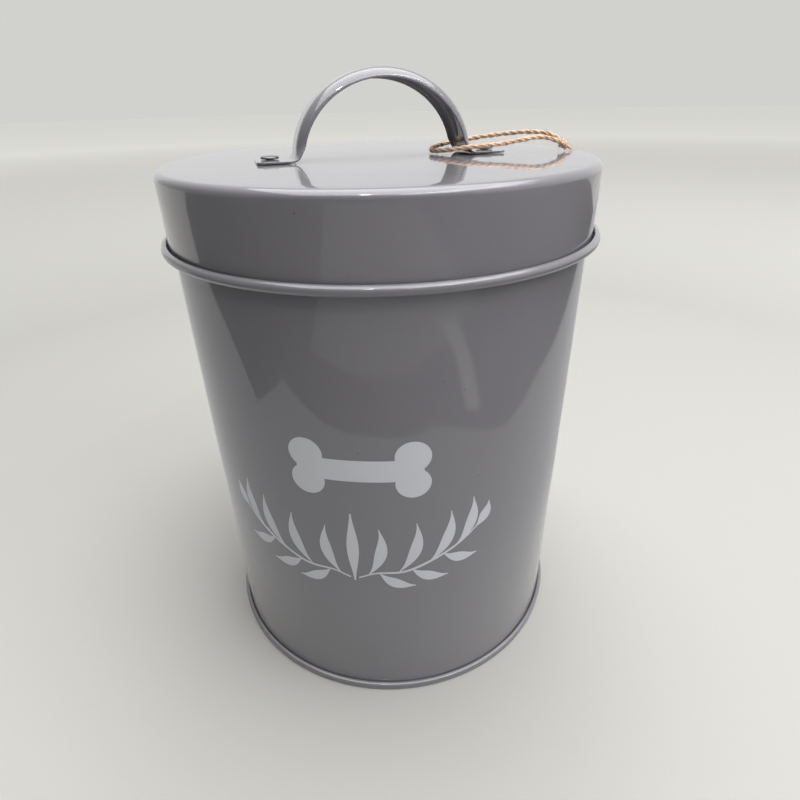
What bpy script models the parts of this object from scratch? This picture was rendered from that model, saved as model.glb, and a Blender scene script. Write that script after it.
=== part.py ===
"""Round sheet-metal treat canister: seamed wall and base, slip-over lid, riveted strap handle, twine loop.

Metres, +Z up. The origin is the middle of the base, on the surface that the canister stands on, and -Y is
the front. The lid and all that is on it hang from one empty on the canister's axis.
"""

import math

import bmesh
import bpy
import numpy as np
from mathutils import Vector

MM = 0.001

# Driving dimensions
WALL_R = 75.0 * MM  # outside of the wall
LID_TOP = 194.8 * MM  # top of the lid's flat panel
BEAD_Z = 170.5 * MM  # middle of the lid's rolled edge
SHEET = 0.5 * MM  # sheet of the wall, the base and the lid
GAP = 0.3 * MM  # clearance between pieces that touch
LID_TURN = math.radians(22.0)  # the lid as it was put on, turned against the front
ROUND_STEPS = 60  # facets round the canister
RIVET_STEPS = 16  # facets round a rivet

# Wall
RIM_R = 1.2 * MM  # outside radius of the curled rim
RIM_CURL_END = 255.0  # degrees, where the curl stops short of the wall
FLANGE_REACH = 1.0 * MM  # how far the foot of the wall turns out into the base's seam
SEAM_WIDTH = 5.0 * MM
SEAM_PROUD = 0.4 * MM

# Base
BASE_PANEL_Z = 3.2 * MM  # middle of the recessed panel's sheet
FOOT_RING_R = 76.85 * MM  # outside of the seam ring
FOOT_RING_TOP = 3.2 * MM
FOOT_CORNER = 0.6 * MM
RING_STEP = 0.8 * MM  # height of the stiffening ring pressed in the panel
RING_IN = 52.0 * MM
RING_OUT = 58.0 * MM

# Lid
LID_CLEARANCE = 0.85 * MM  # between the wall and the inside of the skirt
LID_EDGE_R = 2.5 * MM  # rounded edge of the panel, outside
BEAD_R = 1.6 * MM  # outside radius of the rolled edge
BEAD_CURL_END = 460.0  # degrees, past the top, leaving a crevice behind the bead

# Handle
STRAP = 0.6 * MM  # thickness of its sheet
STRAP_WIDTH = 18.5 * MM  # width of the flat blank
HANDLE_LENGTH = 89.0 * MM  # tip to tip of its feet
HANDLE_SHIFT = 1.0 * MM  # how far along its own length it is riveted off the lid's middle
ARCH_HALF_SPAN = 31.2 * MM
ARCH_RISE = 27.8 * MM
ARCH_BASE = -0.5 * MM  # level of the arch's centre over the lid
BEND_R = 2.3 * MM  # where a foot turns up into the arch
FOOT_TIP_R = 2.5 * MM  # rounded corners of a foot
CURL_ZONE = 5.0 * MM  # width of each curled edge, laid flat
CURL_ANGLE = math.radians(72.0)
CURL_START = 7.0 * MM  # length over which the edges begin to curl
CURL_FULL = 25.0 * MM  # length over which they reach the full curl

# Rivets
RIVET_IN = 4.9 * MM  # from the tip of a foot
RIVET_HEAD_R = 3.1 * MM
RIVET_HEAD = 0.9 * MM
RIVET_SHANK_R = 1.5 * MM
RIVET_TAIL_R = 2.5 * MM
RIVET_TAIL = 0.9 * MM

# Twine: its route over the lid, with X along the handle and heights over the panel, in millimetres
TWINE_R = 0.9 * MM
TWINE_ROUTE = [
    (65.7, -12.9, 2.6),
    (62.6, -12.2, 4.0),
    (57.4, -11.4, 5.0),
    (50.8, -11.6, 4.5),
    (42.3, -12.2, 3.5),
    (34.3, -11.4, 3.0),
    (27.4, -9.4, 2.4),
    (22.2, -5.4, 1.6),
    (20.1, 0.0, 1.3),
    (21.9, 5.6, 1.6),
    (26.4, 9.6, 2.3),
    (32.0, 10.4, 3.1),
    (37.8, 8.8, 4.0),
    (43.6, 5.9, 4.9),
    (49.6, 2.3, 5.7),
    (56.6, -1.8, 6.3),
    (62.6, -5.4, 5.9),
    (66.2, -8.0, 4.4),
]
TWINE_SPACING = 4.4 * MM
KNOT_AT = (68.5, -11.6, 2.3)
KNOT_HALF = (2.6 * MM, 2.2 * MM, 1.8 * MM)

PAINT = (0.165, 0.16, 0.178, 1.0)
BARE_STEEL = (0.45, 0.45, 0.46, 1.0)
JUTE = (0.52, 0.35, 0.22, 1.0)


def clear_scene():
    for item in list(bpy.data.objects):
        bpy.data.objects.remove(item, do_unlink=True)


def new_collection(name):
    group = bpy.data.collections.new(name)
    bpy.context.scene.collection.children.link(group)
    return group


def material(name, colour, roughness, metallic):
    made = bpy.data.materials.new(name)
    made.use_nodes = True
    shader = made.node_tree.nodes["Principled BSDF"]
    shader.inputs["Base Color"].default_value = colour
    shader.inputs["Roughness"].default_value = roughness
    shader.inputs["Metallic"].default_value = metallic
    return made


def add_object(name, data, group, parent=None):
    made = bpy.data.objects.new(name, data)
    group.objects.link(made)
    made.parent = parent
    return made


def add_part(name, data, colour, roughness=0.25, metallic=0.0, parent=None):
    data.materials.append(material(name, colour, roughness, metallic))
    return add_object(name, data, PARTS, parent)


def add_cutter(name, data, parent=None):
    made = add_object(name, data, CUTTERS, parent)
    made.hide_render = True
    made.display_type = "WIRE"
    return made


def boolean(target, cutter, operation):
    made = target.modifiers.new(cutter.name, "BOOLEAN")
    made.solver = "EXACT"
    made.operation = operation
    made.object = cutter


def arc(centre, radius, start, end, steps):
    """Points on an arc from one angle to another, both in degrees."""
    angles = np.radians(np.linspace(start, end, steps + 1))
    return [(centre[0] + radius * math.cos(a), centre[1] + radius * math.sin(a)) for a in angles]


def sheet_outline(line, thickness):
    """The outline of a sheet bent along a middle line of (radius, height) points: out along one face and
    back along the other, with mitred corners."""
    line = np.array(line)
    step = np.diff(line, axis=0)
    step /= np.linalg.norm(step, axis=1)[:, None]
    normal = np.stack([-step[:, 1], step[:, 0]], axis=1)
    mitre = normal[:-1] + normal[1:]
    mitre /= np.sum(mitre * mitre, axis=1)[:, None] / 2.0
    side = np.concatenate([normal[:1], mitre, normal[-1:]]) * thickness / 2.0
    return np.concatenate([line + side, (line - side)[::-1]])


def turned_part(name, outline, steps, colour, roughness=0.25, metallic=0.0, parent=None):
    """A piece turned about Z from its outline at +X, which is a ring unless it starts on the axis."""
    count = len(outline)
    edges = [(i, i + 1) for i in range(count - 1)]
    if outline[0][0] > 0.0:
        edges.append((count - 1, 0))
    mesh = bpy.data.meshes.new(name)
    mesh.from_pydata([(r, 0.0, z) for r, z in outline], edges, [])
    made = add_part(name, mesh, colour, roughness, metallic, parent)
    screw = made.modifiers.new("turn", "SCREW")
    screw.axis = "Z"
    screw.angle = 2.0 * math.pi
    screw.steps = steps
    screw.render_steps = steps
    screw.use_merge_vertices = True
    screw.merge_threshold = 0.00001
    screw.use_smooth_shade = True
    return made


def wall_line():
    """From inside the curled rim, over it, down the wall and out into the flange at the foot."""
    middle = WALL_R - SHEET / 2.0
    rim_top = LID_TOP - SHEET - GAP
    rim_centre = (WALL_R - RIM_R, rim_top - RIM_R)
    line = arc(rim_centre, RIM_R - SHEET / 2.0, RIM_CURL_END, 0.0, 7)
    flange_z = SHEET + GAP + SHEET / 2.0
    corner = (middle + FOOT_CORNER, flange_z + FOOT_CORNER)
    line += arc(corner, FOOT_CORNER, 180.0, 270.0, 2)
    line.append((middle + FLANGE_REACH, flange_z))
    return line


def seam_cutter():
    """The folded seam that closes the wall at the back, to be joined to it."""
    low = FOOT_RING_TOP + GAP
    high = LID_TOP - SHEET - GAP - 2.0 * RIM_R
    depth = SEAM_PROUD + SHEET / 2.0
    mesh = bpy.data.meshes.new("seam")
    frame = bmesh.new()
    bmesh.ops.create_cube(frame, size=1.0)
    bmesh.ops.scale(frame, vec=(SEAM_WIDTH, depth, high - low), verts=frame.verts)
    middle = WALL_R + SEAM_PROUD - depth / 2.0
    bmesh.ops.translate(frame, vec=(0.0, middle, (low + high) / 2.0), verts=frame.verts)
    frame.to_mesh(mesh)
    frame.free()
    return add_cutter("seam", mesh)


def make_wall():
    made = turned_part("body_wall", sheet_outline(wall_line(), SHEET), ROUND_STEPS, PAINT)
    boolean(made, seam_cutter(), "UNION")
    return made


def base_line():
    """From the middle of the panel over its ring, down inside the wall, under its flange and up again."""
    middle = WALL_R - SHEET / 2.0
    inner = middle - SHEET - GAP
    outer = FOOT_RING_R - SHEET / 2.0
    low = SHEET / 2.0
    high = FOOT_RING_TOP - SHEET / 2.0
    raised = BASE_PANEL_Z + RING_STEP
    line = [(0.0, BASE_PANEL_Z), (RING_IN, BASE_PANEL_Z), (RING_IN + RING_STEP, raised)]
    line += [(RING_OUT - RING_STEP, raised), (RING_OUT, BASE_PANEL_Z)]
    line += arc((inner - FOOT_CORNER, BASE_PANEL_Z - FOOT_CORNER), FOOT_CORNER, 90.0, 0.0, 2)
    line += arc((inner + FOOT_CORNER, low + FOOT_CORNER), FOOT_CORNER, 180.0, 270.0, 2)
    line += arc((outer - FOOT_CORNER, low + FOOT_CORNER), FOOT_CORNER, -90.0, 0.0, 2)
    line += arc((outer - FOOT_CORNER, high - FOOT_CORNER), FOOT_CORNER, 0.0, 90.0, 2)
    line.append((WALL_R + GAP + 0.1 * MM, high))
    return line


def make_base():
    return turned_part("base_plate", sheet_outline(base_line(), SHEET), ROUND_STEPS, PAINT)


def lid_line():
    """From the middle of the panel, over the rounded edge, down the skirt and round the rolled edge."""
    skirt = WALL_R + LID_CLEARANCE + SHEET / 2.0
    edge_r = LID_EDGE_R - SHEET / 2.0
    bead_r = BEAD_R - SHEET / 2.0
    edge_centre = (skirt - edge_r, -LID_EDGE_R)
    bead_centre = (skirt + bead_r, BEAD_Z - LID_TOP)
    line = [(0.0, -SHEET / 2.0)]
    line += arc(edge_centre, edge_r, 90.0, 0.0, 4)
    line += arc(bead_centre, bead_r, 180.0, BEAD_CURL_END, 8)
    return line


def rivet_place(side):
    """Where a rivet stands on the lid: side is -1 for the left foot and 1 for the right one."""
    return (HANDLE_SHIFT + side * (HANDLE_LENGTH / 2.0 - RIVET_IN), 0.0, 0.0)


def rivet_hole(name, side):
    """A cutter for the hole that a rivet fills, through the lid's panel and the strap."""
    mesh = bpy.data.meshes.new(name)
    drill = bmesh.new()
    radius = RIVET_SHANK_R + GAP
    bmesh.ops.create_cone(
        drill, cap_ends=True, segments=RIVET_STEPS, radius1=radius, radius2=radius, depth=8.0 * SHEET
    )
    drill.to_mesh(mesh)
    drill.free()
    made = add_cutter(name, mesh, LID_FRAME)
    made.location = rivet_place(side)
    return made


def make_lid(holes):
    made = turned_part("lid_cap", sheet_outline(lid_line(), SHEET), ROUND_STEPS, PAINT, parent=LID_FRAME)
    for hole in holes:
        boolean(made, hole, "DIFFERENCE")
    return made


def smooth_step(value):
    value = min(max(value, 0.0), 1.0)
    return value * value * (3.0 - 2.0 * value)


def arch_heading(turn):
    """The strap's slope where the arch has turned by this angle from its left end."""
    return math.atan2(ARCH_RISE * math.cos(turn), ARCH_HALF_SPAN * math.sin(turn))


def arch_start():
    """The turn of the arch where the bend of the foot runs into it without a kink."""
    foot_z = GAP + STRAP / 2.0
    turn = 0.1
    for _ in range(12):
        top_of_bend = foot_z + BEND_R * (1.0 - math.cos(arch_heading(turn)))
        turn = math.asin((top_of_bend - ARCH_BASE) / ARCH_RISE)
    return turn


def half_strap():
    """Stations from the left foot's tip to the top: place, heading, half width, length past the foot."""
    foot_z = GAP + STRAP / 2.0
    turn = arch_start()
    heading = arch_heading(turn)
    bend_x = -ARCH_HALF_SPAN * math.cos(turn) - BEND_R * math.sin(heading)
    stations = []
    for angle in np.radians(np.linspace(0.0, 90.0, 4)):
        x = -HANDLE_LENGTH / 2.0 + FOOT_TIP_R * (1.0 - math.cos(angle))
        width = STRAP_WIDTH / 2.0 - FOOT_TIP_R * (1.0 - math.sin(angle))
        stations.append((x, foot_z, 0.0, width, 0.0))
    for angle in np.linspace(0.0, heading, 6):
        x = bend_x + BEND_R * math.sin(angle)
        z = foot_z + BEND_R * (1.0 - math.cos(angle))
        stations.append((x, z, angle, STRAP_WIDTH / 2.0, BEND_R * angle))
    length = BEND_R * heading
    last = stations[-1]
    for angle in np.linspace(turn, math.pi / 2.0, 14)[1:]:
        x = -ARCH_HALF_SPAN * math.cos(angle)
        z = ARCH_BASE + ARCH_RISE * math.sin(angle)
        length += math.hypot(x - last[0], z - last[1])
        last = (x, z, arch_heading(angle), STRAP_WIDTH / 2.0, length)
        stations.append(last)
    return stations


def strap_section(half_width, length):
    """Half of the strap across, from its middle line out: how far sideways and how far in it lies. The
    blank keeps its width, and its edge zone bends in along an arc."""
    curl = 0.8 * smooth_step(length / CURL_START) + 0.2 * smooth_step(length / CURL_FULL)
    flat = half_width - CURL_ZONE
    points = [(0.0, 0.0), (flat, 0.0)]
    for part in np.linspace(0.25, 1.0, 4):
        angle = CURL_ANGLE * curl * part
        run = CURL_ZONE * part
        if angle < 1e-4:
            points.append((flat + run, 0.0))
        else:
            radius = run / angle
            points.append((flat + radius * math.sin(angle), radius * (1.0 - math.cos(angle))))
    return points


def make_handle(holes):
    """A loft of the strap's sections along its side view, thickened to its sheet."""
    left = half_strap()
    right = [(-x, z, -heading, width, length) for x, z, heading, width, length in left[-2::-1]]
    loft = bmesh.new()
    rows = []
    for x, z, heading, width, length in left + right:
        half = strap_section(width, length)
        across = [(-side, inward) for side, inward in half[:0:-1]] + half
        row = []
        for side, inward in across:
            place = (x + inward * math.sin(heading), side, z - inward * math.cos(heading))
            row.append(loft.verts.new(place))
        rows.append(row)
    for row, following in zip(rows, rows[1:]):
        for i in range(len(row) - 1):
            loft.faces.new((row[i], following[i], following[i + 1], row[i + 1]))
    mesh = bpy.data.meshes.new("handle")
    loft.to_mesh(mesh)
    loft.free()
    mesh.shade_smooth()
    made = add_part("handle", mesh, PAINT, parent=LID_FRAME)
    made.location = (HANDLE_SHIFT, 0.0, 0.0)
    shell = made.modifiers.new("sheet", "SOLIDIFY")
    shell.thickness = STRAP
    shell.offset = 0.0
    for hole in holes:
        boolean(made, hole, "DIFFERENCE")
    return made


def rivet_outline():
    """From the top of the head over its rounded edge, down the shank and round the upset tail."""
    head_low = GAP + STRAP + GAP
    head_high = head_low + RIVET_HEAD
    tail_high = -SHEET - GAP
    tail_low = tail_high - RIVET_TAIL
    head_edge = RIVET_HEAD / 2.0
    tail_edge = RIVET_TAIL / 2.0
    outline = [(0.0, head_high)]
    outline += arc((RIVET_HEAD_R - head_edge, head_high - head_edge), head_edge, 90.0, 0.0, 3)
    outline += [(RIVET_HEAD_R, head_low), (RIVET_SHANK_R, head_low)]
    outline += [(RIVET_SHANK_R, tail_high), (RIVET_TAIL_R, tail_high)]
    outline += arc((RIVET_TAIL_R - tail_edge, tail_low + tail_edge), tail_edge, 0.0, -90.0, 3)
    outline.append((0.0, tail_low))
    return outline


def make_rivet(name, side):
    made = turned_part(name, rivet_outline(), RIVET_STEPS, BARE_STEEL, 0.3, 1.0, LID_FRAME)
    made.location = rivet_place(side)
    return made


def smooth_route(route, spacing):
    """Points at an even spacing along the Catmull-Rom curve through the route's own points."""
    knots = [Vector(point) * MM for point in route]
    knots = [2.0 * knots[0] - knots[1]] + knots + [2.0 * knots[-1] - knots[-2]]
    fine = []
    for before, start, end, after in zip(knots, knots[1:], knots[2:], knots[3:]):
        for t in np.linspace(0.0, 1.0, 24, endpoint=False):
            slope_in = (end - before) / 2.0
            slope_out = (after - start) / 2.0
            point = start * (2.0 * t**3 - 3.0 * t**2 + 1.0) + end * (3.0 * t**2 - 2.0 * t**3)
            fine.append(point + slope_in * (t**3 - 2.0 * t**2 + t) + slope_out * (t**3 - t**2))
    fine.append(knots[-2])
    line = np.array(fine)
    length = np.concatenate([[0.0], np.cumsum(np.linalg.norm(np.diff(line, axis=0), axis=1))])
    even = np.linspace(0.0, length[-1], round(length[-1] / spacing) + 1)
    return np.stack([np.interp(even, length, line[:, axis]) for axis in range(3)], axis=1)


def make_twine():
    points = smooth_route(TWINE_ROUTE, TWINE_SPACING)
    curve = bpy.data.curves.new("twine_loop", "CURVE")
    curve.dimensions = "3D"
    curve.bevel_depth = TWINE_R
    curve.bevel_resolution = 2
    curve.use_fill_caps = True
    spline = curve.splines.new("POLY")
    spline.points.add(len(points) - 1)
    for target, point in zip(spline.points, points):
        target.co = (*point, 1.0)
    return add_part("twine_loop", curve, JUTE, 0.9, 0.0, LID_FRAME)


def make_knot():
    mesh = bpy.data.meshes.new("twine_knot")
    ball = bmesh.new()
    bmesh.ops.create_uvsphere(ball, u_segments=12, v_segments=8, radius=1.0)
    bmesh.ops.scale(ball, vec=KNOT_HALF, verts=ball.verts)
    ball.to_mesh(mesh)
    ball.free()
    mesh.shade_smooth()
    made = add_part("twine_knot", mesh, JUTE, 0.9, 0.0, LID_FRAME)
    made.location = Vector(KNOT_AT) * MM
    return made


clear_scene()
PARTS = new_collection("treat_canister")
CUTTERS = new_collection("cutters")

LID_FRAME = add_object("lid_frame", None, PARTS)
LID_FRAME.location = (0.0, 0.0, LID_TOP)
LID_FRAME.rotation_euler = (0.0, 0.0, LID_TURN)

make_wall()
make_base()
rivet_holes = [rivet_hole("hole_left", -1.0), rivet_hole("hole_right", 1.0)]
make_lid(rivet_holes)
make_handle(rivet_holes)
make_rivet("rivet_left", -1.0)
make_rivet("rivet_right", 1.0)
make_twine()
make_knot()
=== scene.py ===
"""Looks of a round painted sheet-metal treat canister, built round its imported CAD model.

Metres, +Z up, -Y towards the front. Each CAD node is replaced by a finer mesh of the same shape, and
the print on the wall is added. Places on the lid are given in the lid's own frame, turned with it.
"""

import math
import random

import bmesh
import bpy
import numpy as np
from mathutils import Matrix, Vector
from mathutils.geometry import tessellate_polygon


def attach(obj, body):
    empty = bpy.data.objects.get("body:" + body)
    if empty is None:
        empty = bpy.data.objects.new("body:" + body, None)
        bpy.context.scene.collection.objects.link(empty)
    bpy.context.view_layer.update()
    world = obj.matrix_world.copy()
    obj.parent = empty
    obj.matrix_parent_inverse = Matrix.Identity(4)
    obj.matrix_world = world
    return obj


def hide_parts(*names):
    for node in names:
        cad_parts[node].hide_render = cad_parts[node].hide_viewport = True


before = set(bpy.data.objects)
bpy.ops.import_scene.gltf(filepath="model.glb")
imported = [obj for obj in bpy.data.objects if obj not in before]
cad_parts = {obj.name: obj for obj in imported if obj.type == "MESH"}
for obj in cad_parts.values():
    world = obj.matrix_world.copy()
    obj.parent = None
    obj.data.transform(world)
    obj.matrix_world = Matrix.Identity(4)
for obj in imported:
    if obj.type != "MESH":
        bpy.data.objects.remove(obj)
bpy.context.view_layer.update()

MM = 0.001

# The canister's dimensions, as in the CAD model. The ends of the curls are in degrees.
WALL_R = 75.0 * MM
LID_TOP = 194.8 * MM
BEAD_Z = 170.5 * MM
SHEET = 0.5 * MM
GAP = 0.3 * MM
LID_TURN = math.radians(22.0)
RIM_R = 1.2 * MM
RIM_CURL_END = 255.0
FLANGE_REACH = 1.0 * MM
SEAM_WIDTH = 5.0 * MM
SEAM_PROUD = 0.4 * MM
BASE_PANEL_Z = 3.2 * MM
FOOT_RING_R = 76.85 * MM
FOOT_RING_TOP = 3.2 * MM
FOOT_CORNER = 0.6 * MM
RING_STEP = 0.8 * MM
RING_IN = 52.0 * MM
RING_OUT = 58.0 * MM
LID_CLEARANCE = 0.85 * MM
LID_EDGE_R = 2.5 * MM
BEAD_R = 1.6 * MM
BEAD_CURL_END = 460.0
STRAP = 0.6 * MM
STRAP_WIDTH = 18.5 * MM
HANDLE_LENGTH = 89.0 * MM
HANDLE_SHIFT = 1.0 * MM
ARCH_HALF_SPAN = 31.2 * MM
ARCH_RISE = 27.8 * MM
ARCH_BASE = -0.5 * MM
BEND_R = 2.3 * MM
FOOT_Z = GAP + STRAP / 2.0
FOOT_TIP_R = 2.5 * MM
CURL_ZONE = 5.0 * MM
CURL_ANGLE = math.radians(72.0)
CURL_MOST = 0.8
CURL_START = 7.0 * MM
CURL_FULL = 25.0 * MM
RIVET_IN = 4.9 * MM
RIVET_HEAD_R = 3.1 * MM
RIVET_HEAD = 0.9 * MM
RIVET_SHANK_R = 1.5 * MM
RIVET_TAIL_R = 2.5 * MM
RIVET_TAIL = 0.9 * MM
RIVET_EDGE = 0.35 * MM
RIVET_DOME = 0.18 * MM
RIVET_BREAK = 0.1 * MM
TAIL_DIMPLE = [(0.9 * MM, 0.0), (0.7 * MM, 0.15 * MM), (0.0, 0.2 * MM)]  # radius and depth
ROUND_STEPS = 240
SHARP_ANGLE = 38.0

# Half of a rounded cut edge of the sheet, from its face to near its middle, in half thicknesses:
# how far across the sheet and how far past its end
CUT_EDGE = [(0.93, 0.13), (0.76, 0.24), (0.4, 0.30)]

# Waves in the sheet: height in millimetres, number round the canister, twist per millimetre, start
WALL_WAVES = [(0.05, 3.0, 0.021, 0.0), (0.03, 7.0, -0.034, 1.3), (0.018, 13.0, 0.05, 0.4)]
WALL_WAVE_FADE = 18.0 * MM
LID_WAVES = [(0.035, 5.0, 0.0, 0.6), (0.02, 11.0, 0.09, 0.0)]
LID_WAVE_FADE = 5.0 * MM
SEAM_EDGE = 0.45 * MM
SEAM_END_FADE = 1.0 * MM

# Twine, a little thinner than the CAD's smooth cord: loose fibres make up the rest
TWINE_R = 0.8 * MM
KNOT_TWINE_R = TWINE_R * 0.66
TAIL_TWINE_R = TWINE_R * 0.80
TWINE_PLIES = 3
STEPS_PER_PLY = 8
PLY_OFFSET = 0.46
PLY_RADIUS = 0.54
TWINE_PITCH = 8.4 * MM
TWINE_SPACING = 0.45 * MM
TAIL_TAPER = 0.4
FIBRE_COUNT = 330
FIBRE_R = 0.035 * MM
FIBRE_FRAYED = 16
FIBRE_SEED = 11

# The twine's route over the lid in millimetres, X along the handle and heights over the panel
TWINE_ROUTE = [
    (65.7, -12.9, 2.6),
    (62.6, -12.2, 4.0),
    (57.4, -11.4, 5.0),
    (50.8, -11.6, 4.5),
    (42.3, -12.2, 3.5),
    (34.3, -11.4, 3.0),
    (27.4, -9.4, 2.4),
    (22.2, -5.4, 1.6),
    (20.1, 0.0, 1.3),
    (21.9, 5.6, 1.6),
    (26.4, 9.6, 2.3),
    (32.0, 10.4, 3.1),
    (37.8, 8.8, 4.0),
    (43.6, 5.9, 4.9),
    (49.6, 2.3, 5.7),
    (56.6, -1.8, 6.3),
    (62.6, -5.4, 5.9),
    (66.2, -8.0, 4.4),
]

# The knot and the two cut ends, in millimetres like the route
KNOT_TURNS = 2.3
KNOT_LENGTH = 2.3
KNOT_RADIUS = 1.05
KNOT_START = (65.9, -10.6, 3.1)
KNOT_END = (68.3, -12.0, 1.8)
TAIL_ROUTES = [
    [(65.7, -12.9, 2.6), (66.8, -12.3, 2.4), (68.2, -11.8, 1.7), (69.9, -11.7, 1.0)],
    [(66.2, -8.0, 4.4), (66.8, -9.8, 3.4), (67.8, -11.7, 2.2), (69.0, -13.4, 1.1)],
]

# Print on the wall, in millimetres along the wall from the front and above the floor
PRINT_PROUD = 0.06 * MM
PRINT_STEP = 1.5
PEN_STEP = 0.7
BONE_MIDDLE = (0.0, 110.8)
BONE_HALF_LENGTH = 23.4
BONE_HALF_HEIGHT = 10.9
BONE_SHAFT_HALF = 4.1
KNUCKLE_ACROSS = BONE_HALF_LENGTH * 0.253
KNUCKLE_UP = BONE_HALF_HEIGHT * 0.53
NOTCH_HALF = 0.5
ORNAMENT_MIDDLE = (-4.0, 77.0)

# One half of the sprig, in millimetres from its middle: its stem, and each leaf's foot, tip and bow.
# The upright leaf stands between the halves.
STEM = [(1.5, -13.5), (8.0, -11.0), (18.0, -10.5), (28.0, -6.5), (38.0, -1.0), (45.5, 5.0)]
LEAVES = [
    ((5.0, -12.0), (9.4, 9.5), 0.12),
    ((9.0, -11.0), (22.0, -18.0), 0.12),
    ((16.0, -10.6), (22.4, 11.5), 0.13),
    ((20.5, -9.6), (34.0, -15.0), 0.12),
    ((27.0, -7.0), (34.6, 14.5), 0.13),
    ((32.0, -4.4), (45.4, -8.4), 0.12),
    ((37.0, -1.6), (42.8, 18.0), 0.13),
    ((44.0, 3.8), (49.4, 14.0), 0.12),
]
UPRIGHT_LEAF = [(0.0, -15.0), (0.0, -4.0), (0.0, 6.0), (0.0, 16.0)]
LEAF_SWELL = 4.3
LEAF_HAIRLINE = 0.3
STEM_SWELL = 1.0
STEM_LEVEL = 0.005
HAIRLINE = 0.6

# Camera: place, turns in degrees, focal length and film width in millimetres
CAMERA_PLACE = (28.6 * MM, -209.0 * MM, 214.0 * MM)
CAMERA_TURN = (60.40, 1.14, 5.69)
CAMERA_LENS = 24.16
CAMERA_SENSOR = 36.0

# Colours
PAINT = (0.132, 0.128, 0.141, 1.0)
PRINT_GREY = (0.40, 0.41, 0.44, 1.0)
STEEL = (0.24, 0.235, 0.25, 1.0)
JUTE_LIGHT = (0.56, 0.39, 0.27, 1.0)
JUTE_PALE = (0.64, 0.46, 0.33, 1.0)
JUTE_DARK = (0.30, 0.18, 0.11, 1.0)
# Painted shade in the grooves between the twine's plies
JUTE_GROOVE_SHADE = (0.12, 0.055, 0.025, 1.0)
FLOOR_NEAR = (0.315, 0.312, 0.299, 1.0)
FLOOR_FAR = (0.98, 0.975, 0.95, 1.0)
CARD_GREY = (0.02, 0.02, 0.02, 1.0)
WHITE = (1.0, 1.0, 1.0, 1.0)
ROOM_PALE = (0.64, 0.64, 0.62, 1.0)
ROOM_DARK = (0.18, 0.18, 0.175, 1.0)

# Depths of the bumps in the materials
WALL_SHEET_WAVES = 0.03 * MM
LID_SHEET_WAVES = 0.02 * MM
SMALL_SHEET_WAVES = 0.01 * MM
PEEL_DEPTH = 0.0012 * MM
NIB_HEIGHT = 0.02 * MM
MARK_DEPTH = 0.01 * MM
FIBRE_DEPTH = 0.09 * MM

# Room: the floor's colour turns paler and it glows from near to far between two distances, painted light
# where the lamps don't reach, and the room darkens to one side
FLOOR_RADIUS = 9.0
FLOOR_CHANGES = (0.5, 3.2)
FLOOR_GLOW = 0.13
DARK_SIDE = (-0.85, -0.52, 0.0)
DARK_SIDE_CHANGES = (0.15, 0.85)

# Cards, which only the gloss mirrors. The edge of the pale cloth that the canister stands on, from far
# left to far right:
CLOTH_EDGE = [
    (-3.0, 0.25),
    (-1.2, 0.15),
    (-0.61, 0.01),
    (-0.45, -0.077),
    (-0.36, -0.113),
    (-0.265, -0.135),
    (-0.246, -0.245),
    (0.0, -0.262),
    (0.14, -0.235),
    (0.18, -0.19),
    (0.23, -0.093),
    (0.317, 0.027),
    (0.45, 0.40),
    (0.60, 0.85),
    (3.0, 1.4),
]
DARK_ROOM = CLOTH_EDGE + [(3.0, -4.0), (-3.0, -4.0)]
CLOTH = CLOTH_EDGE[2:-1] + [(0.60, 1.2), (-0.61, 1.2)]
CLOTH_FADE = (0.08, 0.14)
DIM_FRONT = [(-0.20, -0.36), (0.42, -0.33), (0.60, -1.6), (-0.45, -1.6)]
PALE_STREAK = [
    (0.257, -0.405),
    (0.319, -0.354),
    (0.289, -0.244),
    (0.229, -0.160),
    (0.207, -0.195),
    (0.254, -0.284),
]
CEILING = [(-1.0, -1.3), (1.3, -1.3), (1.3, 0.9), (-1.0, 0.9)]
CEILING_HEIGHT = 1.6
CARD_STEP = 1.0 * MM
UPRIGHT_HALF_WIDTH = 2.5

# Lamps, which all aim at the lid: place, size, power, and whether the gloss mirrors the lamp itself
LAMP_AIM = (0.0, 0.0, 0.19)
LAMPS = {
    "overhead": ((0.12, 0.14, 1.45), (1.2, 0.9), 35.0, False),
    "side": ((1.0, -0.45, 0.80), (0.8, 0.8), 6.0, False),
    "strip_high": ((0.72, -0.42, 1.20), (1.5, 0.05), 5.0, True),
    "strip_low": ((0.84, -0.50, 1.02), (1.5, 0.03), 2.0, True),
    "lamp": ((-0.02, -0.65, 1.0), (0.07, 0.07), 1.2, True),
}


def lid_point(point):
    """A place on the lid, given in millimetres in the lid's own frame, in the scene's frame."""
    x, y, z = (value * MM for value in point)
    turned = Matrix.Rotation(LID_TURN, 3, "Z") @ Vector((x, y, z))
    return turned + Vector((0.0, 0.0, LID_TOP))


def lid_matrix():
    """From the lid's own frame, with its origin on the panel, to the scene's frame."""
    return Matrix.Translation((0.0, 0.0, LID_TOP)) @ Matrix.Rotation(LID_TURN, 4, "Z")


def link(name, data):
    made = bpy.data.objects.new(name, data)
    bpy.context.scene.collection.objects.link(made)
    return made


def finish_mesh(name, maker, paint, sharp=SHARP_ANGLE):
    """Turns a bmesh into an object with outward faces, smooth but for its sharp edges."""
    bmesh.ops.remove_doubles(maker, verts=maker.verts, dist=0.002 * MM)
    bmesh.ops.recalc_face_normals(maker, faces=maker.faces)
    mesh = bpy.data.meshes.new(name)
    maker.to_mesh(mesh)
    maker.free()
    mesh.shade_smooth()
    mesh.set_sharp_from_angle(angle=math.radians(sharp))
    mesh.materials.append(paint)
    return link(name, mesh)


def bridge(maker, rings, closed_ring=True, closed_path=False):
    """Faces between rings of vertices that follow each other."""
    pairs = list(zip(rings, rings[1:]))
    if closed_path:
        pairs.append((rings[-1], rings[0]))
    for ring, following in pairs:
        count = len(ring)
        for i in range(count if closed_ring else count - 1):
            j = (i + 1) % count
            corners = (ring[i], following[i], following[j], ring[j])
            maker.faces.new(corners)


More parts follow.
